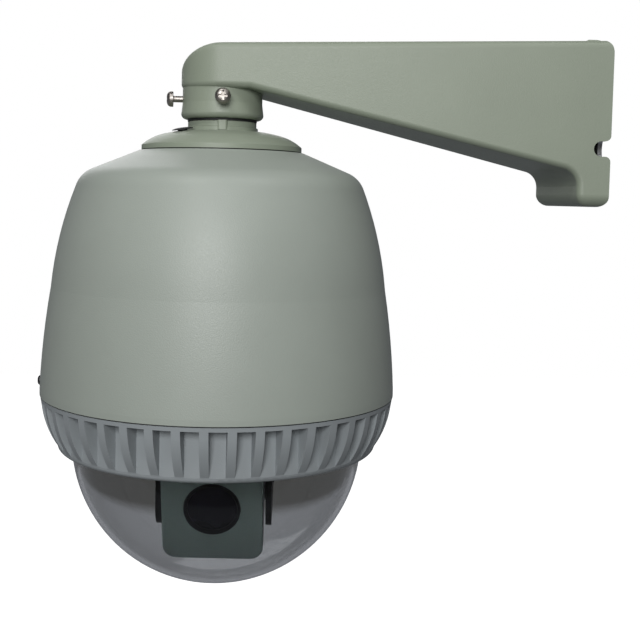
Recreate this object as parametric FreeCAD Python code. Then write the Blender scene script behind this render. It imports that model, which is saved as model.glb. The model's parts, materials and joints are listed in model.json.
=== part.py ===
"""Outdoor PTZ dome camera hanging from a cast wall bracket.

Frame: millimetres, +Z up. The origin is the centre of the wall plate's four anchor holes, on the wall face.
+X points into the wall, the dome hangs at -X, and the lens looks along -Y, a little downwards, at rest.

The housing turns about a vertical axis REACH in front of the wall. Its pieces are drawn about that axis, with
z = 0 at the seam between the upper shell and the finned ring, and hung() moves them to their place.
The camera head is drawn level about its own tilt axis, and headed() tilts it and moves it to its place.
"""
import math
import os

import FreeCAD
import Part
from FreeCAD import Vector as V

# ---------------------------------------------------------------- driving dimensions
REACH = 252.6            # wall face to the housing's axis
SEAM_Z = -185.8          # seam between shell and finned ring
FIT = 0.3                # clearance between pieces that only pass each other
SCREW_FIT = 0.08         # radial clearance of a screw in its hole

# wall bracket
ROOT_TOP = 55.0          # half height of the root, which is also the wall plate's pocket
ROOT_DEPTH = 20.4
ROOT_HALF = 49.0         # half width at the wall
ROOT_CORNER = 8.0        # rounding of the root's lower edges
WALL_CORNER = 9.5        # rounding of the arm's top against the wall, seen from the side
HEAD_HALF = 29.5         # half width over the boss
HEAD_SHIFT = 1.7         # the rounded head stands this far towards the wall, so its tip is near the boss
HEAD_ROLL = (28.0, 18.5)  # how far the top rolls down into the tip, along and down
ARM_TOP_HEAD = 47.9      # the arm rises a little towards the wall
ARM_TOP_ROOT = 53.7
HEAD_FLOOR = 18.6        # underside of the arm over the boss
SLOPE_START = 18.0       # where the underside begins to fall, from the housing's axis
ROOT_FLOOR = -32.0       # underside where it meets the root
CAST_WALL = 4.0
BOSS_R = 26.9
BOSS_FLARE_R = 27.8
BOSS_FLOOR = -0.8
BORE_R = 22.5
NOTCH_Z = -16.6
NOTCH_R = 5.0
NOTCH_DEPTH = 11.0
ANCHOR_Y, ANCHOR_Z = 30.0, 36.0
ANCHOR_R = 3.5
CABLE_ENTRY_R = 14.0
WALL_PLATE_T = 3.0

# neck: the outside of a 1 1/2 inch pipe thread
NECK_R = 24.15
NECK_TUBE_R = 22.2
NECK_BORE_R = 15.0

# housing, about the seam
SHELL_R = 120.0
SHELL_WALL = 3.0
SHELL_TOP_Z = 163.2
SHELL_TOP_R = 56.0
CAP_R = 54.1
CAP_FOOT = 164.0
CAP_EDGE = 167.6
GASKET_T = 0.8

# finned ring
FINS = 45
FIN_T = 5.5
RING_FOOT = -36.6
RING_FOOT_R = 105.0
POCKET_FLOOR_R = 108.3
RING_INNER_R = 105.3
SPIGOT_R = 116.4
SPIGOT_TOP = 13.0
LOCK_SCREW_Z = 6.2

# dome
DOME_R = 99.0
DOME_WALL = 3.0
DOME_CENTRE = -31.0
DOME_FLANGE_R = 104.9
LIP_TOP = -33.6

# pan drive
CHASSIS_Z = 62.0
CHASSIS_T = 2.0
CHASSIS_R = 98.0
POST_R = 48.0
TOOTH_PITCH = 3.0
PAN_TEETH, PAN_PINION_TEETH = 60, 16
PAN_DRIVE_Z = 38.0       # foot of the belt plane
PAN_MOTOR_X = 54.0

# camera head
TILT_AXIS = -60.0
PAN_REST = -4.4          # turn of the turntable at rest
REST_TILT = 16.0         # the lens looks this far below the horizon at rest
FACE_REACH = 42.0        # front of the face cover, from the tilt axis
FACE_HALF_W, FACE_HALF_H = 33.5, 39.0
FACE_CORNER = 9.0
YOKE_IN, YOKE_OUT = 34.7, 38.7
YOKE_FOOT = -88.5
YOKE_TOP = 20.0
TILT_PITCH = 2.0
TILT_TEETH, TILT_PINION_TEETH = 48, 16
TILT_MOTOR_Z = 5.0
TILT_DRIVE_X = 27.6      # inner face of the tilt belt plane
BELT_T = 1.4
BELT_FIT = 0.2


# ---------------------------------------------------------------- drawing helpers
def outline(start, *steps, plane="xz"):
    """A closed wire. A step is a point, for a line, (middle, end), for an arc, or (pole, pole, end)."""
    def at(p):
        if plane == "xz":
            return V(p[0], 0, p[1])
        if plane == "yz":
            return V(0, p[0], p[1])
        return V(p[0], p[1], 0)
    edges, here = [], start
    for step in steps + (start,):
        if isinstance(step[0], tuple) and len(step) == 3:
            curve = Part.BezierCurve()
            curve.setPoles([at(here)] + [at(pole) for pole in step])
            edges.append(curve.toShape())
            here = step[-1]
        elif isinstance(step[0], tuple):
            middle, end = step
            edges.append(Part.Arc(at(here), at(middle), at(end)).toShape())
            here = end
        elif math.dist(here, step) > 1e-6:
            edges.append(Part.makeLine(at(here), at(step)))
            here = step
    return Part.Wire(edges)


def revolved(start, *steps):
    """A solid of revolution about Z, from its outline in (radius, height)."""
    return Part.Face(outline(start, *steps)).revolve(V(), V(0, 0, 1), 360)


def tube(inner, outer, low, high):
    """A plain tube, or a rod where inner is 0."""
    rod = Part.makeCylinder(outer, high - low, V(0, 0, low))
    return rod.cut(Part.makeCylinder(inner, high - low, V(0, 0, low))) if inner else rod


def block(x0, x1, y0, y1, z0, z1):
    return Part.makeBox(x1 - x0, y1 - y0, z1 - z0, V(x0, y0, z0))


def rounded_block(x0, x1, y0, y1, z0, z1, radius, along):
    """A block whose four edges along one axis are rounded."""
    shape = block(x0, x1, y0, y1, z0, z1)
    pick = [e for e in shape.Edges
            if abs(abs((e.Vertexes[1].Point - e.Vertexes[0].Point).normalize().dot(along)) - 1) < 1e-6]
    return shape.makeFillet(radius, pick)


def rod(radius, start, direction, length):
    return Part.makeCylinder(radius, length, V(*start), V(*direction))


def moved(shape, x=0.0, y=0.0, z=0.0):
    copy = shape.copy()
    copy.translate(V(x, y, z))
    return copy


def turned(shape, degrees, centre=(0, 0, 0), axis=(0, 0, 1)):
    copy = shape.copy()
    copy.rotate(V(*centre), V(*axis), degrees)
    return copy


def around(shape, count, first=0.0):
    """Copies of a shape, evenly spaced about Z."""
    return [turned(shape, first + 360.0 * k / count) for k in range(count)]


def hung(shape):
    """Housing coordinates to the row frame."""
    return moved(shape, x=-REACH, z=SEAM_Z)


def panned(shape):
    """Turntable coordinates, square to the lens, to the row frame at rest."""
    return hung(turned(shape, PAN_REST))


def headed(shape):
    """Camera head coordinates, level about the tilt axis, to the row frame at rest."""
    return panned(moved(turned(shape, REST_TILT, axis=(1, 0, 0)), z=TILT_AXIS))


def pan_screw(shank_r, length, head_r, head_h, recess=True):
    """A cross-head screw: its head's underside is at z = 0, the head is above and the shank below."""
    crown = 0.35 * head_h
    head = revolved((0, 0), (head_r, 0), (head_r, head_h - 2 * crown),
                    ((head_r * 0.86, head_h - crown * 0.75), (head_r * 0.55, head_h - crown * 0.15)),
                    ((head_r * 0.28, head_h - crown * 0.02), (0, head_h)))
    screw = head.fuse(tube(0, shank_r, -length, 0.0))
    if recess:
        arm, slot, depth = head_r * 0.58, head_r * 0.17, head_h * 0.6
        for quarter in (0, 90):
            cross = block(-arm, arm, -slot, slot, head_h - depth, head_h + 1)
            screw = screw.cut(turned(cross, quarter))
    return screw.removeSplitter()


def aimed(shape, position, direction):
    """Turns a shape's +Z to a direction and moves it there."""
    copy = shape.copy()
    copy.Placement = FreeCAD.Placement(V(*position), FreeCAD.Rotation(V(0, 0, 1), V(*direction)))
    return copy


def pulley(teeth, pitch, low, high, bore, flange):
    """A toothed timing pulley about Z with thin flanges."""
    radius = teeth * pitch / (2 * math.pi)
    body = tube(bore, radius, low, high)
    gap = Part.makeCylinder(pitch * 0.27, high - low, V(radius, 0, low))
    body = body.cut(Part.makeCompound(around(gap, teeth)))
    for foot in (low, high - flange):
        body = body.fuse(tube(bore, radius + BELT_FIT + BELT_T * 0.8, foot, foot + flange))
    return body


def belt(big_r, small_r, span, low, high):
    """A belt about two pulleys: the big one at the origin, the small one at x = span."""
    def loop(extra):
        big, small = big_r + extra, small_r + extra
        lean = math.asin((big - small) / span)
        top = [(big * math.sin(lean), big * math.cos(lean)),
               (span + small * math.sin(lean), small * math.cos(lean))]
        foot = [(x, -y) for x, y in top]
        face = Part.Face(outline(top[0], top[1], ((span + small, 0), foot[1]), foot[0],
                                 ((-big, 0), top[0]), plane="xy"))
        return moved(face.extrude(V(0, 0, high - low)), z=low)
    return loop(BELT_FIT + BELT_T).cut(loop(BELT_FIT))


# ---------------------------------------------------------------- wall bracket
def arm_solid(inset, depth, root_x):
    """The arm's outside, or its hollow, as a side view crossed with a plan view."""
    head, root = HEAD_HALF - inset, ROOT_HALF - inset
    floor, tip, front = HEAD_FLOOR + inset, -REACH + HEAD_SHIFT - head, -ROOT_DEPTH + inset
    top, slope = ARM_TOP_HEAD - inset, (HEAD_FLOOR - ROOT_FLOOR) / (REACH - SLOPE_START - ROOT_DEPTH)
    along, down = HEAD_ROLL[0] - inset * 0.6, HEAD_ROLL[1] - inset * 0.6
    web = 9.0 - inset
    side = outline((tip, floor), (tip, top - down),
                   ((tip, top - 0.45 * down), (tip + 0.45 * along, top), (tip + along, top)),
                   (root_x, ARM_TOP_ROOT - inset), (root_x, depth), (front, depth),
                   (front, ROOT_FLOOR + inset - web),
                   ((front - 0.25 * web, ROOT_FLOOR + inset - 0.27 * web),
                    (front - web, ROOT_FLOOR + inset + web * slope)),
                   (-REACH + SLOPE_START, floor))
    side = moved(Part.Face(side).extrude(V(0, 200, 0)), y=-100)
    centre = -REACH + HEAD_SHIFT
    lean = math.atan2(root, root_x - centre) - math.asin(head / math.hypot(root, root_x - centre))
    tangent = (centre - head * math.sin(lean), head * math.cos(lean))
    plan = outline((root_x, root), tangent, ((tip, 0), (tangent[0], -tangent[1])),
                   (root_x, -root), plane="xy")
    plan = moved(Part.Face(plan).extrude(V(0, 0, 200)), z=-100)
    return side.common(plan)


def edges_where(shape, test):
    return [e for e in shape.Edges if test(e.CenterOfMass, e.BoundBox)]


def notch_cut(side):
    """The side cable notch, open towards the wall, with rounded lips."""
    r, deep, lip = NOTCH_R, NOTCH_DEPTH, 3.5
    face = Part.Face(outline((1, r + lip), (0, r + lip), ((-0.3 * lip, r + 0.3 * lip), (-lip, r)),
                             (-deep + r, r), ((-deep, 0), (-deep + r, -r)), (-lip, -r),
                             ((-0.3 * lip, -r - 0.3 * lip), (0, -r - lip)), (1, -r - lip)))
    return moved(face.extrude(V(0, side * 24, 0)), y=side * (ROOT_HALF - 12), z=NOTCH_Z)


def make_bracket():
    arm = arm_solid(0.0, -ROOT_TOP + 0.5, 0.0)
    top = edges_where(arm, lambda c, b: c.z > ARM_TOP_HEAD - HEAD_ROLL[1] - 0.5 and b.XLength > 5
                      and b.ZLength < HEAD_ROLL[1] + 1)
    arm = arm.makeFillet(4.5, top)
    under = edges_where(arm, lambda c, b: b.ZLength > 40 and b.XLength > 150)
    under += edges_where(arm, lambda c, b: abs(c.z - HEAD_FLOOR) < 0.1 and b.ZLength < 0.1 and b.XLength > 5)
    arm = arm.makeFillet(4.0, under)
    foot = -ROOT_TOP + 0.5
    arm = arm.makeFillet(ROOT_CORNER, edges_where(arm, lambda c, b: abs(c.z - foot) < 0.1 and b.ZLength < 0.1
                                                  and c.x < -0.5))
    # a raised lip on top at the wall, and the rounding of both against the wall
    lip = block(-15, 0, -ROOT_HALF + 9, ROOT_HALF - 9, 40, ARM_TOP_ROOT + 1.2)
    lip = lip.makeFillet(1.5, edges_where(lip, lambda c, b: c.z > ARM_TOP_ROOT + 1 and c.x < -1))
    arm = arm.fuse(lip)
    boss = revolved((0, BOSS_FLOOR), (BOSS_FLARE_R - 3.4, BOSS_FLOOR),
                    ((BOSS_FLARE_R - 1.0, BOSS_FLOOR + 1.0), (BOSS_FLARE_R, BOSS_FLOOR + 3.4)),
                    (BOSS_R, 9.7), (BOSS_R, HEAD_FLOOR + 6), (0, HEAD_FLOOR + 6))
    arm = arm.fuse(moved(boss, x=-REACH))
    arm = arm.cut(arm_solid(CAST_WALL, -ROOT_TOP + 8.0, 1.0))
    arm = arm.cut(moved(tube(0, BORE_R, BOSS_FLOOR - 1, HEAD_FLOOR + 10), x=-REACH))
    top, r = ARM_TOP_ROOT + 1.2, WALL_CORNER
    arm = arm.fuse(block(-6, 0, -ROOT_HALF + 3, ROOT_HALF - 3, top - r - 0.6, ARM_TOP_ROOT - 3))
    corner = outline((-r, top), ((-0.293 * r, top - 0.293 * r), (0, top - r)), (5, top - r), (5, top + 5),
                     (-r, top + 5))
    arm = arm.cut(moved(Part.Face(corner).extrude(V(0, 200, 0)), y=-100))
    low, r = -ROOT_TOP + 0.5, 6.0
    corner = outline((-r, low), ((-0.293 * r, low + 0.293 * r), (0, low + r)), (5, low + r), (5, low - 5),
                     (-r, low - 5))
    arm = arm.cut(moved(Part.Face(corner).extrude(V(0, 200, 0)), y=-100))
    for angle in CLAMP_ANGLES:
        hole = turned(rod(CLAMP_SHANK + SCREW_FIT, (0, -40, CLAMP_Z), (0, 1, 0), 25), angle)
        arm = arm.cut(moved(hole, x=-REACH))
    for side in (-1, 1):
        arm = arm.cut(notch_cut(side))
        arm = arm.cut(rod(2.0 + SCREW_FIT, (LOCK_X, side * LOCK_Y, -60), (0, 0, 1), 20))
        arm = arm.cut(rod(4.6, (LOCK_X, side * LOCK_Y, -60), (0, 0, 1), 60 - ROOT_TOP + 4.2))
    return arm.removeSplitter()


def make_wall_plate():
    half_w, top, foot = ROOT_HALF - CAST_WALL - 0.4, ARM_TOP_ROOT + 1.2 - WALL_CORNER - 1.0, -ROOT_TOP + 8.4
    plate = rounded_block(-WALL_PLATE_T, 0, -half_w, half_w, foot, top, 6.0, V(1, 0, 0))
    flange = rounded_block(-ROOT_DEPTH + CAST_WALL + 0.5, -WALL_PLATE_T, -half_w + 8, half_w - 8, foot,
                           foot + WALL_PLATE_T, 0.8, V(0, 1, 0))
    plate = plate.fuse(flange)
    for side in (-1, 1):
        for level in (-ANCHOR_Z, ANCHOR_Z):
            plate = plate.cut(rod(ANCHOR_R, (-10, side * ANCHOR_Y, level), (1, 0, 0), 12))
        plate = plate.cut(rod(12.0, (-10, side * half_w, NOTCH_Z), (1, 0, 0), 12))
        plate = plate.cut(rod(2.0 + SCREW_FIT, (LOCK_X, side * LOCK_Y, foot - 1), (0, 0, 1), 6))
    return plate.cut(rod(CABLE_ENTRY_R, (-10, 0, 0), (1, 0, 0), 12))


CLAMP_Z = 12.5           # clamp screws, above the frame's origin
CLAMP_SHANK = 2.15
CLAMP_ANGLES = (0, -90, 180)
LOCK_X, LOCK_Y = -8.0, 26.0


def make_clamp_screws():
    standing = BOSS_R + 6.4
    shank = standing - NECK_TUBE_R - 0.1
    screw = pan_screw(CLAMP_SHANK, shank, 5.2, 4.4)
    one = aimed(screw, (0, -standing, CLAMP_Z), (0, -1, 0))
    return moved(Part.makeCompound([turned(one, angle) for angle in CLAMP_ANGLES]), x=-REACH)


def make_lock_screws():
    screw = pan_screw(2.0, 8.5, 4.2, 3.2)
    head_seat = -ROOT_TOP + 4.2
    return Part.makeCompound([aimed(screw, (LOCK_X, side * LOCK_Y, head_seat), (0, 0, -1))
                              for side in (-1, 1)])


# ---------------------------------------------------------------- neck and cap
NECK_FLANGE_R, NECK_FLANGE_TOP, NECK_FLANGE_T = 37.0, 171.8, 4.0
NECK_SCREW_R, NECK_SCREW_ANGLE = 31.0, 0.0
PLUG_R, PLUG_ANGLE = 33.0, -52.0
NECK_TOP = 215.5
NECK_COLLAR_TOP = 183.5


def make_neck():
    neck = revolved((NECK_BORE_R, NECK_FLANGE_TOP - NECK_FLANGE_T),
                    (NECK_FLANGE_R, NECK_FLANGE_TOP - NECK_FLANGE_T), (NECK_FLANGE_R, NECK_FLANGE_TOP),
                    (NECK_R, NECK_FLANGE_TOP), (NECK_R, 179.4), (NECK_R - 1.0, 179.8),
                    (NECK_R - 1.0, NECK_COLLAR_TOP - 0.6), (NECK_R - 1.6, NECK_COLLAR_TOP),
                    (NECK_TUBE_R, NECK_COLLAR_TOP), (NECK_TUBE_R, NECK_TOP - 1.0),
                    (NECK_TUBE_R - 1.0, NECK_TOP), (NECK_BORE_R, NECK_TOP))
    key = rounded_block(-3.2, 3.2, -NECK_R - 0.9, -NECK_BORE_R - 3, 177.2, NECK_COLLAR_TOP, 1.4, V(0, 0, 1))
    neck = neck.fuse(key)
    for hole in around(rod(1.5 + SCREW_FIT, (0, -NECK_SCREW_R, 160), (0, 0, 1), 20), 4, NECK_SCREW_ANGLE):
        neck = neck.cut(hole)
    neck = neck.cut(turned(rod(4.4, (0, -PLUG_R, 160), (0, 0, 1), 20), PLUG_ANGLE))
    return neck.removeSplitter()


def make_cap():
    cap = revolved((NECK_R + 0.1, NECK_FLANGE_TOP + 0.3), (NECK_FLANGE_R + 0.6, NECK_FLANGE_TOP + 0.3),
                   (NECK_FLANGE_R + 0.6, CAP_FOOT), (CAP_R, CAP_FOOT), (CAP_R, CAP_EDGE - 0.6),
                   (CAP_R - 0.6, CAP_EDGE), ((46.5, 172.2), (38.3, 175.0)),
                   ((31.5, 176.4), (NECK_R + 0.1, 177.0)))
    for k in range(4):
        cap = cap.cut(turned(rod(1.5, (0, -NECK_SCREW_R, 160), (0, 0, 1), 15.0), NECK_SCREW_ANGLE + 90 * k))
        cap = cap.cut(turned(rod(2.0 + SCREW_FIT, (0, -POST_R, 160), (0, 0, 1), 6.6), 45 + 90 * k))
    return cap.cut(turned(rod(3.6, (0, -PLUG_R, 160), (0, 0, 1), 20), PLUG_ANGLE))


def make_cap_screws():
    foot = NECK_FLANGE_TOP - NECK_FLANGE_T
    screw = aimed(pan_screw(1.5, 7.0, 3.0, 2.0), (0, -NECK_SCREW_R, foot), (0, 0, -1))
    return Part.makeCompound(around(screw, 4, NECK_SCREW_ANGLE))


def make_cap_plug():
    """A rubber blanking plug in the cap's spare lanyard hole."""
    head = revolved((0, 177.0), (7.0, 177.0), (7.0, 177.3), ((4.8, 177.9), (2.4, 178.1)), (0, 178.1))
    head = turned(head, 10.5, centre=(0, 0, 177.0), axis=(1, 0, 0))
    return turned(moved(head.fuse(tube(0, 3.2, 170.0, 177.4)), y=-PLUG_R), PLUG_ANGLE)


def make_cap_gasket():
    ring = tube(43.0, CAP_R - 0.4, CAP_FOOT - GASKET_T, CAP_FOOT)
    holes = around(rod(2.0 + SCREW_FIT, (0, -POST_R, 160), (0, 0, 1), 10), 4, 45)
    return ring.cut(Part.makeCompound(holes))


# ---------------------------------------------------------------- shell and finned ring
def make_shell():
    outside = [(SHELL_TOP_R, SHELL_TOP_Z), (85.9, 150.7), ((93.4, 145.4), (97.2, 138.6)),
               ((106.8, 107.9), (112.9, 71.9)), ((117.5, 37.8), (SHELL_R, 4.0)), (SHELL_R, 0.4)]
    inside = [(SHELL_R - SHELL_WALL, 0.4), (SHELL_R - SHELL_WALL, 4.0),
              ((114.5, 37.4), (109.9, 71.5)), ((103.9, 107.0), (94.5, 137.2)),
              ((91.3, 143.0), (84.6, 147.8)), (55.0, 160.2), (42.0, 160.2), (42.0, SHELL_TOP_Z)]
    shell = revolved(*outside, *inside)
    holes = around(rod(2.0 + SCREW_FIT, (0, -POST_R, 155), (0, 0, 1), 12), 4, 45)
    shell = shell.cut(Part.makeCompound(holes))
    return shell.cut(rod(2.0 + SCREW_FIT, (-SHELL_R - 5, 0, LOCK_SCREW_Z), (1, 0, 0), 12))


def make_fin_ring():
    lip_r = DOME_R + FIT
    ring = revolved((lip_r, RING_FOOT), (RING_FOOT_R, RING_FOOT),
                    ((107.1, -35.8), (108.2, -33.6)), (108.5, -32.6), ((114.6, -21.5), (118.3, -8.5)),
                    (119.6, -0.4),
                    (SPIGOT_R, -0.4), (SPIGOT_R, SPIGOT_TOP), (SPIGOT_R - 3.4, SPIGOT_TOP),
                    (SPIGOT_R - 3.4, -3.0), (RING_INNER_R, -6.0), (RING_INNER_R, LIP_TOP),
                    (lip_r, LIP_TOP))
    outer = 126.0
    half = math.radians(180.0 / FINS)

    def width(radius):
        return radius * math.tan(half) - FIN_T / 2 / math.cos(half)
    inner = POCKET_FLOOR_R - 2.0
    corners = [(inner, -width(inner)), (outer, -width(outer)), (outer, width(outer)), (inner, width(inner))]
    plan = moved(Part.Face(outline(*corners, plane="xy")).extrude(V(0, 0, 50)), z=-45)
    # the floor drops straight and runs out through the rim, so the fins die away without a ledge
    floor = outline((POCKET_FLOOR_R, -3.0), (outer, -3.0), (outer, -33.5), (POCKET_FLOOR_R, -33.5))
    side = moved(Part.Face(floor).extrude(V(0, 40, 0)), y=-20)
    ring = ring.cut(Part.makeCompound(around(plan.common(side), FINS, -90)))
    ring = ring.cut(rod(2.0 + SCREW_FIT, (-SHELL_R, 0, LOCK_SCREW_Z), (1, 0, 0), 12))
    holes = around(rod(1.25, (0, -DOME_SCREW_R, LIP_TOP - 2.2), (0, 0, 1), 5), 6, 30)
    return ring.cut(Part.makeCompound(holes))


def make_seam_seal():
    return tube(SPIGOT_R + 0.1, 119.0, -0.4, 0.4)


def make_side_screw():
    return aimed(pan_screw(2.0, 6.2, 3.4, 2.8), (-SHELL_R, 0, LOCK_SCREW_Z), (-1, 0, 0))


# ---------------------------------------------------------------- dome
DOME_SCREW_R = 102.3
DOME_SEAL_T, DOME_FLANGE_T, CLAMP_T = 0.8, 3.0, 2.6


def dome_ring(inner, outer, low, high):
    holes = around(rod(1.25 + SCREW_FIT, (0, -DOME_SCREW_R, low - 1), (0, 0, 1), high - low + 2), 6, 30)
    return tube(inner, outer, low, high).cut(Part.makeCompound(holes))


def make_dome():
    seat = LIP_TOP + DOME_SEAL_T
    top = seat + DOME_FLANGE_T
    inner = DOME_R - DOME_WALL

    def at(radius, height):
        return math.sqrt(radius ** 2 - (height - DOME_CENTRE) ** 2)
    def on(radius, degrees):
        turn = math.radians(degrees)
        return (radius * math.cos(turn), DOME_CENTRE - radius * math.sin(turn))
    bowl = revolved((0, DOME_CENTRE - DOME_R), (on(DOME_R, 50), (at(DOME_R, seat), seat)),
                    (DOME_FLANGE_R, seat), (DOME_FLANGE_R, top), (at(inner, top), top),
                    (on(inner, 50), (0, DOME_CENTRE - inner)))
    holes = around(rod(1.25 + SCREW_FIT, (0, -DOME_SCREW_R, seat - 1), (0, 0, 1), 6), 6, 30)
    return bowl.cut(Part.makeCompound(holes))


def make_dome_seal():
    return dome_ring(DOME_R + 0.6, DOME_FLANGE_R, LIP_TOP, LIP_TOP + DOME_SEAL_T)


def make_dome_clamp():
    low = LIP_TOP + DOME_SEAL_T + DOME_FLANGE_T
    return dome_ring(97.0, DOME_FLANGE_R, low, low + CLAMP_T)


def make_dome_screws():
    head = LIP_TOP + DOME_SEAL_T + DOME_FLANGE_T + CLAMP_T
    screw = moved(pan_screw(1.25, head - LIP_TOP + 2.0, 2.3, 1.8), y=-DOME_SCREW_R, z=head)
    return Part.makeCompound(around(screw, 6, 30))


# ---------------------------------------------------------------- chassis and what is fixed to it
FAN_Y, FAN_HALF, FAN_T = -64.0, 20.0, 10.0
PLATE_TOP = CHASSIS_Z + CHASSIS_T
BOARD_Z = PLATE_TOP + 6.0
BOARD = (-88.0, -34.0, -28.0, 28.0)
BUSH_BORE = 12.06
BUSH_R = 15.9


def board_posts():
    x0, x1, y0, y1 = BOARD
    return [(x, y) for x in (x0 + 4, x1 - 4) for y in (y0 + 4, y1 - 4)]


def make_chassis():
    plate = tube(BUSH_R + 0.1, CHASSIS_R, CHASSIS_Z, PLATE_TOP)
    holes = around(rod(2.0 + SCREW_FIT, (0, -POST_R, CHASSIS_Z - 1), (0, 0, 1), 5), 4, 45)
    holes.append(rod(11.3, (PAN_MOTOR_X, 0, CHASSIS_Z - 1), (0, 0, 1), 5))
    holes.append(rod(FAN_HALF - 1.5, (0, FAN_Y, CHASSIS_Z - 1), (0, 0, 1), 5))
    for x in (-15.5, 15.5):
        for y in (-15.5, 15.5):
            holes.append(rod(1.5 + SCREW_FIT, (PAN_MOTOR_X + x, y, CHASSIS_Z - 1), (0, 0, 1), 5))
    return plate.cut(Part.makeCompound(holes))


def make_posts():
    post = tube(0, 4.0, PLATE_TOP, 160.2).fuse(tube(0, 2.0, 160.2, 166.0))
    post = post.cut(tube(0, 2.0, PLATE_TOP, PLATE_TOP + 9))
    return Part.makeCompound(around(moved(post, y=-POST_R), 4, 45))


def make_chassis_screws():
    screw = aimed(pan_screw(2.0, 10.0, 3.6, 2.6), (0, -POST_R, CHASSIS_Z), (0, 0, -1))
    return Part.makeCompound(around(screw, 4, 45))


def make_pan_bush():
    return tube(BUSH_BORE, BUSH_R, CHASSIS_Z, 76.0).fuse(tube(BUSH_BORE, 21.0, CHASSIS_Z - 2.5, CHASSIS_Z))


def make_pan_motor():
    x, half = PAN_MOTOR_X, 21.1
    body = rounded_block(x - half, x + half, -half, half, PLATE_TOP, PLATE_TOP + 34, 3.5, V(0, 0, 1))
    body = body.fuse(moved(tube(0, 11.0, CHASSIS_Z, PLATE_TOP), x=x))
    body = body.cut(moved(tube(0, 2.56, CHASSIS_Z - 1, PLATE_TOP + 14), x=x))
    holes = [rod(1.5, (x + dx, dy, CHASSIS_Z), (0, 0, 1), 7) for dx in (-15.5, 15.5) for dy in (-15.5, 15.5)]
    return body.cut(Part.makeCompound(holes))


def make_motor_screws():
    screw = pan_screw(1.5, 6.5, 2.8, 2.0)
    return Part.makeCompound([aimed(screw, (PAN_MOTOR_X + x, y, CHASSIS_Z), (0, 0, -1))
                              for x in (-15.5, 15.5) for y in (-15.5, 15.5)])


def make_pan_pinion():
    pinion = pulley(PAN_PINION_TEETH, TOOTH_PITCH, PAN_DRIVE_Z, PAN_DRIVE_Z + 10, 2.0, 1.0)
    return moved(pinion.fuse(tube(0, 2.5, PAN_DRIVE_Z - 1, PLATE_TOP + 13.5)), x=PAN_MOTOR_X)


def make_pan_belt():
    big = PAN_TEETH * TOOTH_PITCH / (2 * math.pi)
    small = PAN_PINION_TEETH * TOOTH_PITCH / (2 * math.pi)
    return belt(big, small, PAN_MOTOR_X, PAN_DRIVE_Z + 1.4, PAN_DRIVE_Z + 8.6)


def make_power_board():
    x0, x1, y0, y1 = BOARD
    board = block(x0, x1, y0, y1, BOARD_Z, BOARD_Z + 1.6)
    for x, y in board_posts():
        board = board.cut(rod(1.6, (x, y, BOARD_Z - 1), (0, 0, 1), 4))
    for spot in ((-78, -52, -20, 2, 22), (-78, -62, 8, 22, 12), (-56, -44, 6, 24, 9)):
        xa, xb, ya, yb, height = spot
        board = board.fuse(block(xa, xb, ya, yb, BOARD_Z + 1.6, BOARD_Z + 1.6 + height))
    return board.fuse(rod(6.3, (-42, -12, BOARD_Z + 1.6), (0, 0, 1), 20))


def make_board_posts():
    return Part.makeCompound([rod(2.8, (x, y, PLATE_TOP), (0, 0, 1), 6.0).fuse(
        rod(1.5, (x, y, PLATE_TOP + 6), (0, 0, 1), 1.6)).fuse(
        rod(2.6, (x, y, BOARD_Z + 1.6), (0, 0, 1), 1.8)) for x, y in board_posts()])


def make_terminal_block():
    body = block(-30, 22, 44, 56, PLATE_TOP, PLATE_TOP + 14)
    for k in range(6):
        x = -25.5 + 8.6 * k
        body = body.cut(rod(2.6, (x, 50, PLATE_TOP + 9), (0, 0, 1), 6))
        body = body.cut(block(x - 2.6, x + 2.6, 43, 47, PLATE_TOP + 2, PLATE_TOP + 7))
    return body


def make_heater():
    body = block(-24, 24, 64, 84, PLATE_TOP, PLATE_TOP + 5)
    for k in range(9):
        x = -24 + 5.75 * k
        body = body.fuse(block(x, x + 2, 64, 84, PLATE_TOP + 5, PLATE_TOP + 20))
    return body.removeSplitter()


def make_fan_housing():
    frame = rounded_block(-FAN_HALF, FAN_HALF, FAN_Y - FAN_HALF, FAN_Y + FAN_HALF,
                          PLATE_TOP, PLATE_TOP + FAN_T, 3.0, V(0, 0, 1))
    frame = frame.cut(rod(FAN_HALF - 1.4, (0, FAN_Y, PLATE_TOP - 1), (0, 0, 1), FAN_T + 2))
    strut = block(-FAN_HALF + 1, FAN_HALF - 1, FAN_Y - 1.5, FAN_Y + 1.5, PLATE_TOP, PLATE_TOP + 1.2)
    frame = frame.fuse(strut).fuse(turned(strut, 90, centre=(0, FAN_Y, 0)))
    frame = frame.fuse(rod(7.0, (0, FAN_Y, PLATE_TOP), (0, 0, 1), 1.6))
    return frame.fuse(rod(1.2, (0, FAN_Y, PLATE_TOP), (0, 0, 1), 7.0)).removeSplitter()


def make_fan_rotor():
    hub = tube(1.26, 8.5, PLATE_TOP + 2.0, PLATE_TOP + 9.2)
    blade = rounded_block(-0.6, 0.6, 7.5, FAN_HALF - 2.0, PLATE_TOP + 2.6, PLATE_TOP + 9.0, 0.25, V(0, 1, 0))
    blade = turned(blade, 38, centre=(0, 0, PLATE_TOP + 5.8), axis=(0, 1, 0))
    for one in around(blade, 7):
        hub = hub.fuse(one)
    return moved(hub.cut(tube(0, 1.26, PLATE_TOP, PLATE_TOP + 12)), y=FAN_Y)


def make_slip_stator():
    body = tube(3.5, 12.5, 82.5, 104.0).fuse(tube(0, 12.5, 100.0, 104.0))
    return body


def make_slip_bridge():
    span, top = 30.0, 104.0
    strap = rounded_block(-8, 8, -span, span, top, top + 2, 1.0, V(0, 0, 1))
    for side in (-1, 1):
        y0, y1 = sorted((side * span, side * (span - 2)))
        strap = strap.fuse(block(-8, 8, y0, y1, PLATE_TOP, top))
        y0, y1 = sorted((side * span, side * (span + 8)))
        strap = strap.fuse(block(-8, 8, y0, y1, PLATE_TOP, PLATE_TOP + 2))
    return strap.removeSplitter()


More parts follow.
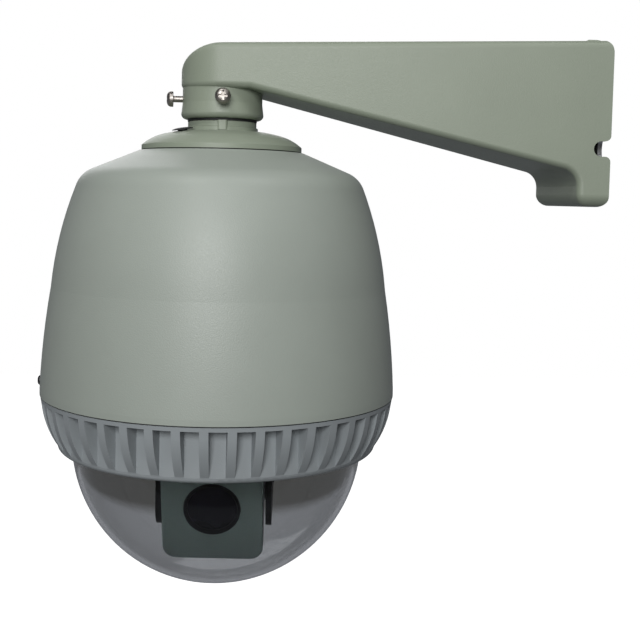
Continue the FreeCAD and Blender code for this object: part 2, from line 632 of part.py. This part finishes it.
# ---------------------------------------------------------------- turntable and yoke
SPINDLE_R, SPINDLE_BORE = 12.0, 9.0
TABLE_R, TABLE_T = 50.0, 3.0
TABLE_Z = YOKE_TOP
TABLE_TOP = TABLE_Z + TABLE_T
YOKE_HALF_Y = 30.0
TRUNNION_R = 4.0


def make_spindle():
    return revolved((SPINDLE_BORE, TABLE_TOP), (24.0, TABLE_TOP), (24.0, TABLE_TOP + 4.0),
                    (16.0, TABLE_TOP + 4.0), (16.0, PAN_DRIVE_Z), (SPINDLE_R, PAN_DRIVE_Z),
                    (SPINDLE_R, 80.0), (SPINDLE_BORE, 80.0))


def make_pan_pulley():
    return pulley(PAN_TEETH, TOOTH_PITCH, PAN_DRIVE_Z, PAN_DRIVE_Z + 10, SPINDLE_R, 1.0)


def make_retainer():
    ring = tube(SPINDLE_R, 15.4, 76.3, 78.8)
    return ring.cut(block(-1.2, 1.2, SPINDLE_R - 1, 17, 70, 82))


def make_slip_rotor():
    return tube(0, 7.8, 52.0, 82.0).fuse(tube(0, 3.1, 82.0, 94.0)).fuse(tube(0, SPINDLE_BORE, 56.0, 60.0))


def table_screw_spots():
    return [(x, y) for x in (-27.5, 27.5) for y in (-15.0, 15.0)]


def make_turntable():
    table = tube(SPINDLE_BORE, TABLE_R, TABLE_Z, TABLE_TOP)
    spots = [rod(1.5 + SCREW_FIT, (x, y, TABLE_Z - 1), (0, 0, 1), 5) for x, y in table_screw_spots()]
    spots += around(rod(1.5 + SCREW_FIT, (0, -20, TABLE_Z - 1), (0, 0, 1), 5), 3)
    return table.cut(Part.makeCompound(spots))


def make_table_screws():
    down = pan_screw(1.5, TABLE_T + 3.5, 2.8, 2.0)
    screws = [moved(down, x, y, TABLE_TOP) for x, y in table_screw_spots()]
    up = aimed(pan_screw(1.5, TABLE_T + 3.5, 2.8, 2.0), (0, -20, TABLE_Z), (0, 0, -1))
    return Part.makeCompound(screws + around(up, 3))


def spindle_with_holes():
    holes = around(rod(1.5, (0, -20, TABLE_TOP), (0, 0, 1), 3.8), 3)
    return make_spindle().cut(Part.makeCompound(holes))


def yoke_plate(side):
    plate = outline((-YOKE_HALF_Y, TABLE_Z), (-YOKE_HALF_Y, YOKE_FOOT + 14),
                    ((-YOKE_HALF_Y + 4.1, YOKE_FOOT + 4.1), (-YOKE_HALF_Y + 14, YOKE_FOOT)),
                    (YOKE_HALF_Y - 14, YOKE_FOOT),
                    ((YOKE_HALF_Y - 4.1, YOKE_FOOT + 4.1), (YOKE_HALF_Y, YOKE_FOOT + 14)),
                    (YOKE_HALF_Y, TABLE_Z), plane="yz")
    x0 = YOKE_IN if side > 0 else -YOKE_OUT
    plate = moved(Part.Face(plate).extrude(V(YOKE_OUT - YOKE_IN, 0, 0)), x=x0)
    plate = plate.common(rounded_block(x0, x0 + YOKE_OUT - YOKE_IN, -50, 50, YOKE_FOOT, TABLE_Z + 10, 1.7,
                                       V(0, 1, 0)))
    x1, x2 = sorted((side * 22.0, side * YOKE_IN))
    plate = plate.fuse(block(x1, x2, -YOKE_HALF_Y, YOKE_HALF_Y, TABLE_Z - 3.6, TABLE_Z))
    x1, x2 = sorted((side * 21.0, side * 27.0))
    plate = plate.cut(block(x1, x2, -12.4, 12.4, TABLE_Z - 5, TABLE_Z + 1))
    holes = [rod(1.5, (x, y, TABLE_Z - 5), (0, 0, 1), 6) for x, y in table_screw_spots()]
    holes.append(rod(TRUNNION_R + 0.06, (side * 30, 0, TILT_AXIS), (side, 0, 0), 12))
    return plate.cut(Part.makeCompound(holes)).removeSplitter()


def make_tilt_motor():
    half = 10.5
    body = rounded_block(-12, 24.6, -half, half, TILT_MOTOR_Z - half, TILT_MOTOR_Z + half, 2.5, V(1, 0, 0))
    return body.cut(rod(2.06, (8, 0, TILT_MOTOR_Z), (1, 0, 0), 20))


def make_motor_bracket():
    plate = block(24.6, 26.4, -12, 12, TILT_MOTOR_Z - 10.5, TABLE_Z)
    plate = plate.fuse(block(-10, 24.6, -6.8, 6.8, TABLE_Z - 2.0, TABLE_Z))
    return plate.cut(rod(4.0, (20, 0, TILT_MOTOR_Z), (1, 0, 0), 10)).removeSplitter()


def sideways(shape, z):
    """Turns a shape drawn about Z to lie about X, its old +X upwards, its old +Z towards -X."""
    return moved(turned(shape, -90, axis=(0, 1, 0)), z=z)


def make_tilt_pinion():
    high, low = -TILT_DRIVE_X, -TILT_DRIVE_X - 6.4
    pinion = pulley(TILT_PINION_TEETH, TILT_PITCH, low, high, 1.5, 0.6).fuse(tube(0, 2.0, low, -9.0))
    return sideways(pinion, TILT_MOTOR_Z)


def make_tilt_belt():
    big = TILT_TEETH * TILT_PITCH / (2 * math.pi)
    small = TILT_PINION_TEETH * TILT_PITCH / (2 * math.pi)
    low, high = -TILT_DRIVE_X - 5.4, -TILT_DRIVE_X - 1.0
    return sideways(belt(big, small, TILT_MOTOR_Z - TILT_AXIS, low, high), TILT_AXIS)


# ---------------------------------------------------------------- camera head, level, about the tilt axis
HEAD_HALF_W, HEAD_HALF_H = 25.8, 29.0
HEAD_FRONT, HEAD_BACK = -30.0, 32.0
BARREL_R, BARREL_BORE = 18.6, 15.6
BARREL_FRONT = -44.0
GLASS_R, GLASS_SEAT = 16.2, 7.0


def make_tilt_pulley():
    low, high = -TILT_DRIVE_X - 6.4, -TILT_DRIVE_X
    wheel = pulley(TILT_TEETH, TILT_PITCH, low, high, TRUNNION_R, 0.6)
    wheel = wheel.fuse(tube(TRUNNION_R, 12.0, high, -HEAD_HALF_W))
    return turned(wheel, -90, axis=(0, 1, 0))


def make_trunnions():
    one = rod(TRUNNION_R, (HEAD_HALF_W - 5, 0, 0), (1, 0, 0), YOKE_OUT + 1.0 - HEAD_HALF_W + 5)
    left = turned(one, 180).fuse(rod(7.0, (-HEAD_HALF_W, 0, 0), (-1, 0, 0), YOKE_IN - HEAD_HALF_W - 0.5))
    return Part.makeCompound([one, left])


def make_head_case():
    w, h = HEAD_HALF_W, HEAD_HALF_H
    case = rounded_block(-w, w, HEAD_FRONT, HEAD_BACK, -h, h, 5.0, V(0, 1, 0))
    case = case.cut(rounded_block(-w + 2.5, w - 2.5, HEAD_FRONT - 1, HEAD_BACK + 1, -h + 2.5, h - 2.5,
                                  2.5, V(0, 1, 0)))
    for side in (-1, 1):
        case = case.fuse(rod(8.0, (side * (w - 6.5), 0, 0), (side, 0, 0), 5.5))
        case = case.cut(rod(TRUNNION_R, (side * (w - 5), 0, 0), (side, 0, 0), 12))
    return case.removeSplitter()


def make_face_cover():
    w, h, back = FACE_HALF_W, FACE_HALF_H, -25.0
    cover = rounded_block(-w, w, -FACE_REACH, back, -h, h, FACE_CORNER, V(0, 1, 0))
    rim = [e for e in cover.Edges if abs(e.CenterOfMass.y + FACE_REACH) < 1e-3]
    cover = cover.makeFillet(1.8, rim)
    hollow = rounded_block(-w + 2, w - 2, -FACE_REACH + 2.4, back + 1, -h + 2, h - 2, FACE_CORNER - 2,
                           V(0, 1, 0))
    return cover.cut(hollow).cut(rod(BARREL_R + 0.3, (0, -60, 0), (0, 1, 0), 40))


def make_lens_barrel():
    front, back = BARREL_FRONT, 6.0
    skirt, length = BARREL_R - 1.4, back - front
    barrel = revolved((BARREL_R - 1.2, 0), (BARREL_R - 0.8, 0), (BARREL_R, 0.8), (BARREL_R, 11.0),
                      (skirt, 12.0), (skirt, length), (6.0, length), (6.0, length - 3.0),
                      (BARREL_BORE, length - 3.0), (BARREL_BORE, GLASS_SEAT), (GLASS_R + 0.1, GLASS_SEAT),
                      (GLASS_R + 0.1, 2.4))
    return aimed(barrel, (0, front, 0), (0, 1, 0))


def make_front_glass():
    glass = revolved((0, 1.0), ((8.5, 1.5), (GLASS_R, 3.0)), (GLASS_R, GLASS_SEAT), (0, GLASS_SEAT))
    return aimed(glass, (0, BARREL_FRONT, 0), (0, 1, 0))


def make_zoom_group():
    cell = revolved((0, 1.2), (9.0, 1.2), (10.5, 0.0), (14.9, 0.0), (14.9, 9.0), (10.5, 9.0),
                    (9.0, 7.8), (0, 7.8))
    return aimed(cell, (0, -36.2, 0), (0, 1, 0))


def make_sensor_board():
    board = block(-21, 21, 12.0, 13.6, -22, 22)
    return board.fuse(block(-8, 8, 9.0, 12.0, -7, 7)).fuse(block(6, 18, 13.6, 17, -14, 6))


def make_sensor_posts():
    spots = [(x, z) for x in (-18.5, 18.5) for z in (-19.5, 19.5)]
    return Part.makeCompound([rod(2.0, (x, 13.6, z), (0, 1, 0), HEAD_BACK - 13.6) for x, z in spots])


def make_rear_cover():
    w, h = HEAD_HALF_W, HEAD_HALF_H
    cover = rounded_block(-w, w, HEAD_BACK, HEAD_BACK + 3.0, -h, h, 5.0, V(0, 1, 0))
    for x in (-18.5, 18.5):
        for z in (-19.5, 19.5):
            cover = cover.cut(rod(1.25 + SCREW_FIT, (x, HEAD_BACK - 1, z), (0, 1, 0), 6))
    for k in range(4):
        z = -7.5 + 5 * k
        cover = cover.cut(rounded_block(-10, 10, HEAD_BACK - 1, HEAD_BACK + 5, z - 1, z + 1, 0.9, V(0, 1, 0)))
    return cover


def make_head_screws():
    screw = pan_screw(1.25, 7.0, 2.3, 1.6)
    return Part.makeCompound([aimed(screw, (x, HEAD_BACK + 3.0, z), (0, 1, 0))
                              for x in (-18.5, 18.5) for z in (-19.5, 19.5)])


def sensor_posts_with_holes():
    shape = make_sensor_posts()
    holes = [rod(1.25, (x, HEAD_BACK - 4.2, z), (0, 1, 0), 6) for x in (-18.5, 18.5) for z in (-19.5, 19.5)]
    return Part.makeCompound([s.cut(Part.makeCompound(holes)) for s in shape.Solids])


# ---------------------------------------------------------------- every node, in the row frame
def still(shape):
    return shape


NODES = [
    (still, "bracket_arm", make_bracket), (still, "wall_plate", make_wall_plate),
    (still, "clamp_screws", make_clamp_screws), (still, "bracket_lock_screws", make_lock_screws),
    (hung, "neck_collar", make_neck),
    (hung, "neck_gasket", lambda: tube(NECK_TUBE_R + 0.05, 23.4, NECK_COLLAR_TOP, BOSS_FLOOR - SEAM_Z)),
    (hung, "top_cap", make_cap), (hung, "cap_screws", make_cap_screws),
    (hung, "cap_plug", make_cap_plug),
    (hung, "cap_gasket", make_cap_gasket), (hung, "shell", make_shell),
    (hung, "side_screw", make_side_screw), (hung, "seam_seal", make_seam_seal),
    (hung, "fin_ring", make_fin_ring), (hung, "dome_seal", make_dome_seal),
    (hung, "dome_cover", make_dome), (hung, "dome_clamp_ring", make_dome_clamp),
    (hung, "dome_clamp_screws", make_dome_screws),
    (hung, "chassis_plate", make_chassis), (hung, "chassis_posts", make_posts),
    (hung, "chassis_screws", make_chassis_screws), (hung, "pan_bush", make_pan_bush),
    (hung, "pan_motor", make_pan_motor), (hung, "pan_motor_screws", make_motor_screws),
    (hung, "pan_motor_pulley", make_pan_pinion), (hung, "pan_belt", make_pan_belt),
    (hung, "power_board", make_power_board), (hung, "board_posts", make_board_posts),
    (hung, "terminal_block", make_terminal_block), (hung, "heater_block", make_heater),
    (hung, "fan_housing", make_fan_housing), (hung, "fan_rotor", make_fan_rotor),
    (hung, "slip_ring_stator", make_slip_stator), (hung, "slip_ring_bridge", make_slip_bridge),
    (panned, "slip_ring_rotor", make_slip_rotor), (panned, "pan_spindle", spindle_with_holes),
    (panned, "pan_pulley", make_pan_pulley), (panned, "spindle_retainer", make_retainer),
    (panned, "turntable", make_turntable), (panned, "turntable_screws", make_table_screws),
    (panned, "yoke_left", lambda: yoke_plate(-1)), (panned, "yoke_right", lambda: yoke_plate(1)),
    (panned, "tilt_motor", make_tilt_motor), (panned, "tilt_motor_bracket", make_motor_bracket),
    (panned, "tilt_motor_pulley", make_tilt_pinion), (panned, "tilt_belt", make_tilt_belt),
    (headed, "tilt_pulley", make_tilt_pulley), (headed, "tilt_trunnions", make_trunnions),
    (headed, "camera_case", make_head_case), (headed, "camera_face_cover", make_face_cover),
    (headed, "lens_barrel", make_lens_barrel), (headed, "lens_front_glass", make_front_glass),
    (headed, "zoom_lens_group", make_zoom_group), (headed, "sensor_board", make_sensor_board),
    (headed, "sensor_posts", sensor_posts_with_holes), (headed, "camera_rear_cover", make_rear_cover),
    (headed, "camera_screws", make_head_screws),
]


def main():
    os.makedirs("parts", exist_ok=True)
    for place, name, make in NODES:
        shape = place(make())
        shape.exportStep("parts/" + name + ".step")
        print(name, "valid" if shape.isValid() else "NOT VALID", len(shape.Solids), "solids",
              round(shape.Volume / 1000, 2), "cm3")


main()
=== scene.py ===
"""Looks for the wall-mounted dome camera: materials, light and the photo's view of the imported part.

Metres, +Z up, origin on the wall plane. Every piece keeps its CAD shape; this script gives each one a
procedural material and sets up the camera, floor, lights and world.
"""
import math

import bpy
from mathutils import Matrix, Vector
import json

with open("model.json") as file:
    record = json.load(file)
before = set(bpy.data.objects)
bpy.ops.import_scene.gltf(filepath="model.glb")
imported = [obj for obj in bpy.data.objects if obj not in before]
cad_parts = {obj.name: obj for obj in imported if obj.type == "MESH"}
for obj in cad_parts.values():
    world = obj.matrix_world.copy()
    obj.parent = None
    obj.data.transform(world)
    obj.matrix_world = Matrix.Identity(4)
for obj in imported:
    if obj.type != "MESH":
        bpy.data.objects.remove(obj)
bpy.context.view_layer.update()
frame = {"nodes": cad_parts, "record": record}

# The housing's axis at the seam, which lies above the pan joint's origin.
SEAM_ABOVE_PAN = 0.060
PAN = next(joint for joint in frame["record"]["behaviour"]["joints"] if joint["name"] == "pan")
AXIS = Vector(PAN["pos_m"]) + Vector((0, 0, SEAM_ABOVE_PAN))

CAST_NODES = ("bracket_arm", "neck_collar", "top_cap")    # their paint is a little yellower

# Photo view
SENSOR_WIDTH = 36.0                     # mm
LENS = 59.34                            # mm
SHIFT = (0.03125, -0.0744)              # fractions of the frame's width
YAW, PITCH = math.radians(4.42), math.radians(4.0)
ROLL = math.radians(1.15)               # the housing leans a little to the right
CAMERA_DISTANCE = 0.721
CAMERA_ASIDE = 0.0547
CAMERA_RISE = 0.1330
CLIP = (0.05, 50)

# Floor and lights
FLOOR_SIZE, FLOOR_HEIGHT = 12.0, -1.2
LIGHT_TARGET = AXIS + Vector((0, 0, 0.03))
LIGHTS = [                              # name, place, side of the square, power in watts
    ("key", (-0.5, -1.6, 0.42), 0.7, 18.5),
    ("top_left", (-0.54, -0.58, 0.94), 0.28, 3.0),
    ("top_right", (0.15, -0.51, 0.94), 0.28, 1.6),
    ("back_fill", (-0.5, 1.7, 0.75), 1.2, 9.0),
]

# World colours
SEEN_BY_CAMERA = 1.0                    # plain white
SIDES_AT_HEIGHT = [(0.0, 0.04), (0.5, 0.09), (1.0, 0.16)]
BEHIND_FROM, BEHIND_TO = 0.45, 0.8      # where the wall behind takes over from the sides
WALL_BEHIND = (0.297, (0.165, 0.161, 0.152))
GROUND_BEHIND = (0.312, (0.47, 0.475, 0.49))
MIRRORED_ROOM = 0.05
MIRRORED_TABLE = (0.19, 0.2, 0.22)
TABLE_FRONT = 0.92                      # how far in front the mirrored table ends
TABLE_EDGE = 0.03


# ---------------------------------------------------------------- material helpers
def material(name):
    mat = bpy.data.materials.new(name)
    mat.use_nodes = True
    tree = mat.node_tree
    return mat, tree, tree.nodes["Principled BSDF"]


def noise(tree, scale, detail=3.0, rough=0.5):
    coord = tree.nodes.new("ShaderNodeTexCoord")
    made = tree.nodes.new("ShaderNodeTexNoise")
    made.inputs["Scale"].default_value = scale
    made.inputs["Detail"].default_value = detail
    made.inputs["Roughness"].default_value = rough
    tree.links.new(coord.outputs["Object"], made.inputs["Vector"])
    return made.outputs["Fac"]


def ramp(tree, source, stops):
    made = tree.nodes.new("ShaderNodeValToRGB")
    while len(made.color_ramp.elements) < len(stops):
        made.color_ramp.elements.new(0.5)
    for element, (place, colour) in zip(made.color_ramp.elements, stops):
        element.position = place
        element.color = (*colour, 1.0)
    tree.links.new(source, made.inputs["Fac"])
    return made.outputs["Color"]


def grey(value):
    return (value, value, value)


def bump(tree, shader, source, strength, distance):
    made = tree.nodes.new("ShaderNodeBump")
    made.inputs["Strength"].default_value = strength
    made.inputs["Distance"].default_value = distance
    tree.links.new(source, made.inputs["Height"])
    tree.links.new(made.outputs["Normal"], shader.inputs["Normal"])


def tinted(tree, shader, source, colour, spread):
    """Base colour that drifts by the given part of itself, lighter and darker."""
    dark = tuple(c * (1 - spread) for c in colour)
    light = tuple(min(1, c * (1 + spread)) for c in colour)
    tree.links.new(ramp(tree, source, [(0.3, dark), (0.7, light)]), shader.inputs["Base Color"])


def mottled(tree, shader, source, low, high):
    """Roughness that varies between two values."""
    tree.links.new(ramp(tree, source, [(0.3, grey(low)), (0.7, grey(high))]), shader.inputs["Roughness"])


# ---------------------------------------------------------------- materials
def powder_coat(name, colour, grain=1500.0, peel=0.35, rough=(0.38, 0.5)):
    mat, tree, shader = material(name)
    tinted(tree, shader, noise(tree, 18.0, 4.0, 0.55), colour, 0.03)
    fine = noise(tree, grain, 2.0, 0.5)
    mottled(tree, shader, fine, *rough)
    bump(tree, shader, fine, peel, 0.0003)
    return mat


def plastic(name, colour, rough=0.45, peel=0.2, grain=2200.0):
    return powder_coat(name, colour, grain, peel, (rough - 0.05, rough + 0.08))


def metal(name, colour, rough=0.3):
    mat, tree, shader = material(name)
    fine = noise(tree, 700.0, 3.0, 0.6)
    tinted(tree, shader, fine, colour, 0.06)
    mottled(tree, shader, fine, rough * 0.8, rough * 1.25)
    shader.inputs["Metallic"].default_value = 1.0
    bump(tree, shader, fine, 0.1, 0.0001)
    return mat


def smoked_dome(name):
    """Clear plastic that darkens with the length of the path through it."""
    mat, tree, shader = material(name)
    tinted(tree, shader, noise(tree, 12.0, 3.0, 0.5), (0.68, 0.69, 0.70), 0.015)
    shader.inputs["Transmission Weight"].default_value = 1.0
    shader.inputs["Roughness"].default_value = 0.02
    shader.inputs["IOR"].default_value = 1.4
    absorb = tree.nodes.new("ShaderNodeVolumeAbsorption")
    absorb.inputs["Color"].default_value = (0.5, 0.51, 0.535, 1.0)
    absorb.inputs["Density"].default_value = 60.0
    tree.links.new(absorb.outputs["Volume"], tree.nodes["Material Output"].inputs["Volume"])
    return mat


def lens_glass(name):
    mat, tree, shader = material(name)
    tinted(tree, shader, noise(tree, 40.0, 2.0, 0.5), (0.02, 0.018, 0.03), 0.2)
    shader.inputs["Roughness"].default_value = 0.04
    shader.inputs["Coat Weight"].default_value = 0.3
    shader.inputs["Coat Roughness"].default_value = 0.02
    return mat


LOOKS = {                               # material slot: maker, and what it takes after the name
    "housing_paint": (powder_coat, (0.355, 0.392, 0.352)),
    "cast_paint": (powder_coat, (0.285, 0.325, 0.255)),
    "ring_paint": (powder_coat, (0.325, 0.355, 0.37)),
    "face_plastic": (powder_coat, (0.46, 0.58, 0.54), 1500.0, 0.15),
    "zinc_steel": (metal, (0.62, 0.63, 0.64), 0.35),
    "stainless": (metal, (0.36, 0.335, 0.31), 0.4),
    "dark_steel": (metal, (0.1, 0.1, 0.105), 0.4),
    "bronze": (metal, (0.55, 0.38, 0.2), 0.4),
    "machined_aluminium": (metal, (0.75, 0.76, 0.78), 0.3),
    "motor_case": (plastic, (0.03, 0.03, 0.033), 0.4),
    "black_rubber": (plastic, (0.012, 0.012, 0.013), 0.65),
    "black_metal": (plastic, (0.006, 0.006, 0.007), 0.42),
    "black_plastic": (plastic, (0.012, 0.012, 0.014), 0.42),
    "circuit_board": (plastic, (0.02, 0.13, 0.06), 0.35),
    "green_plastic": (plastic, (0.05, 0.25, 0.1), 0.45),
    "inner_glass": (plastic, (0.01, 0.01, 0.016), 0.12, 0.0),
    "smoked_dome": (smoked_dome,),
    "lens_glass": (lens_glass,),
}


def dress_pieces():
    """Give each CAD node the material of its slot in the record."""
    made = {slot: maker(slot, *values) for slot, (maker, *values) in LOOKS.items()}
    for entry in frame["record"]["subparts"]:
        piece = frame["nodes"].get(entry["node"])
        if piece is None:
            continue
        slot = "cast_paint" if entry["node"] in CAST_NODES else entry["material_slot"]
        piece.data.materials.clear()
        piece.data.materials.append(made[slot])
        for face in piece.data.polygons:
            face.material_index = 0


# ---------------------------------------------------------------- camera, floor and light
def place_camera():
    data = bpy.data.cameras.new("photo_view")
    camera = bpy.data.objects.new("photo_view", data)
    bpy.context.collection.objects.link(camera)
    data.sensor_width, data.lens = SENSOR_WIDTH, LENS
    data.shift_x, data.shift_y = SHIFT
    data.clip_start, data.clip_end = CLIP
    away = Vector((math.sin(YAW), math.cos(YAW), 0.0))
    right = Vector((math.cos(YAW), -math.sin(YAW), 0.0))
    place = AXIS + Vector((0, 0, CAMERA_RISE)) - away * CAMERA_DISTANCE + right * CAMERA_ASIDE
    forward = away * math.cos(PITCH) + Vector((0, 0, -math.sin(PITCH)))
    up = right.cross(forward)
    across = right * math.cos(ROLL) + up * math.sin(ROLL)
    upright = up * math.cos(ROLL) - right * math.sin(ROLL)
    turn = Matrix((across, upright, -forward)).transposed()
    camera.matrix_world = Matrix.Translation(place) @ turn.to_4x4()
    bpy.context.scene.camera = camera


def pale_floor():
    """A plain white floor well below the camera; it is seen directly and adds no light to the object."""
    bpy.ops.mesh.primitive_plane_add(size=FLOOR_SIZE, location=(AXIS.x, AXIS.y, FLOOR_HEIGHT))
    plane = bpy.context.object
    plane.name = "floor"
    mat, tree, shader = material("floor")
    tinted(tree, shader, noise(tree, 1.5, 2.0), grey(0.95), 0.01)
    shader.inputs["Roughness"].default_value = 0.9
    shader.inputs["Emission Color"].default_value = (1.0, 1.0, 1.0, 1.0)
    shader.inputs["Emission Strength"].default_value = 1.0
    plane.data.materials.append(mat)
    plane.visible_diffuse = plane.visible_glossy = plane.visible_transmission = False
    plane.visible_shadow = plane.visible_volume_scatter = False


def area_light(name, place, side, power):
    data = bpy.data.lights.new(name, "AREA")
    data.shape, data.size, data.size_y = "RECTANGLE", side, side
    data.energy = power
    light = bpy.data.objects.new(name, data)
    bpy.context.collection.objects.link(light)
    light.location = place
    light.rotation_euler = (LIGHT_TARGET - Vector(place)).to_track_quat("-Z", "Y").to_euler()


def mix(tree, factor, first, second):
    """Blend two colours, each a constant or a socket, by a factor socket."""
    made = tree.nodes.new("ShaderNodeMixRGB")
    tree.links.new(factor, made.inputs["Fac"])
    for name, value in (("Color1", first), ("Color2", second)):
        if isinstance(value, tuple):
            made.inputs[name].default_value = (*value, 1.0)
        else:
            tree.links.new(value, made.inputs[name])
    return made.outputs["Color"]


def scaled(tree, source, factor, added=None):
    """The source times a factor, plus the added socket where there is one."""
    made = tree.nodes.new("ShaderNodeMath")
    made.operation = "MULTIPLY" if added is None else "MULTIPLY_ADD"
    made.inputs[1].default_value = factor
    tree.links.new(source, made.inputs[0])
    if added is not None:
        tree.links.new(added, made.inputs[2])
    return made.outputs[0]


def studio_world():
    """White to the camera. Diffuse and see-through rays get dim sides, and a wall and pale ground behind;
    mirror rays get a dim room with a table below."""
    world = bpy.data.worlds.new("studio")
    bpy.context.scene.world = world
    world.use_nodes = True
    tree = world.node_tree
    ray = tree.nodes.new("ShaderNodeLightPath").outputs
    coord = tree.nodes.new("ShaderNodeTexCoord")
    split = tree.nodes.new("ShaderNodeSeparateXYZ")
    tree.links.new(coord.outputs["Generated"], split.inputs[0])
    back, height = split.outputs["Y"], split.outputs["Z"]
    down = scaled(tree, height, -1.0)

    sides = ramp(tree, height, [(place, grey(value)) for place, value in SIDES_AT_HEIGHT])
    behind = ramp(tree, back, [(BEHIND_FROM, grey(0.0)), (BEHIND_TO, grey(1.0))])
    walls = mix(tree, behind, sides, ramp(tree, down, [WALL_BEHIND, GROUND_BEHIND]))

    table = ramp(tree, scaled(tree, back, TABLE_FRONT, down), [(0.0, grey(0.0)), (TABLE_EDGE, grey(1.0))])
    mirrored = mix(tree, table, grey(MIRRORED_ROOM), MIRRORED_TABLE)

    shiny = mix(tree, ray["Is Glossy Ray"], walls, mirrored)
    around = mix(tree, ray["Is Transmission Ray"], shiny, walls)
    seen = mix(tree, ray["Is Camera Ray"], around, grey(SEEN_BY_CAMERA))
    tree.links.new(seen, tree.nodes["Background"].inputs["Color"])
    tree.nodes["Background"].inputs["Strength"].default_value = 1.0


def write_sizes():
    import json


dress_pieces()
place_camera()
studio_world()
pale_floor()
for light in LIGHTS:
    area_light(*light)
bpy.context.scene.view_settings.view_transform = "Standard"

write_sizes()
